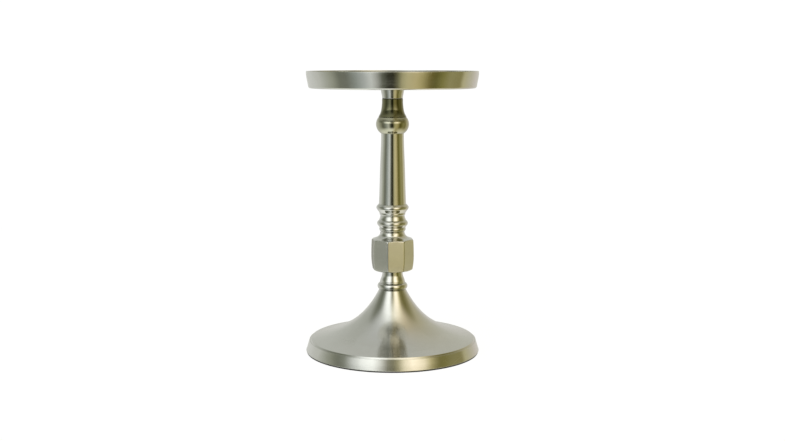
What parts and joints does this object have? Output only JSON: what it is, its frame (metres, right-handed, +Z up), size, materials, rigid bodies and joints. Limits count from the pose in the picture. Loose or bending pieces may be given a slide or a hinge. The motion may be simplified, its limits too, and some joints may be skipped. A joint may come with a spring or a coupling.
{
  "type": "pedestal tray table",
  "caption": "Small pedestal table: a shallow round tray that screws onto a turned nickel-plated stem with rings and an eight-sided knop, on a wide bell-shaped foot with a thin black pad.",
  "frame": {"origin": "centre of the foot's underside, on the floor", "axes": "+Z up along the stem; -Y is the front, though only the knop's flats tell one side from another"},
  "size_m": [0.3138, 0.3138, 0.505],
  "materials": {
    "nickel_tray": "nickel plated, brushed around the wall",
    "nickel_stem": "nickel plated, polished after turning",
    "nickel_foot": "nickel plated, satin, spun brush marks",
    "black_fibre": "matt vulcanised fibre",
    "black_pad": "matt foam rubber",
    "steel_plate": "black lacquered steel",
    "plain_brass": "turned, unplated",
    "zinc_steel": "zinc plated"
  },
  "bodies": {
    "stand": {"neck": "nickel_stem", "ball": "nickel_stem", "shaft": "nickel_stem", "upper_ring": "nickel_stem", "upper_reel": "nickel_stem", "lower_ring": "nickel_stem", "lower_reel": "nickel_stem", "knop": "nickel_stem", "spool": "nickel_stem", "foot_ring": "nickel_stem", "base_bell": "nickel_foot", "base_pad": "black_pad", "base_plate": "steel_plate", "knop_floor": "plain_brass", "tie_rod": "zinc_steel", "neck_nut": "zinc_steel", "neck_nut_washer": "zinc_steel", "base_nut": "zinc_steel", "base_washer": "zinc_steel", "base_lock_washer": "zinc_steel"},
    "washer": {"neck_washer": "black_fibre"},
    "tray": {"tray": "nickel_tray", "tray_collar": "nickel_tray", "tray_boss": "plain_brass"}
  },
  "joints": [
    {"name": "tray_lift", "type": "slide", "parent": "stand", "child": "washer", "axis": [0, 0, 1], "range_m": [0, 0.01205]},
    {"name": "tray_turn", "type": "hinge", "parent": "washer", "child": "tray", "pos_m": [0, 0, 0.475], "axis": [0, 0, 1], "range_deg": [0, 2880]}
  ],
  "couplings": [
    {"joint": "tray_lift", "follows": "tray_turn", "m_per_rad": 0.00023873}
  ]
}
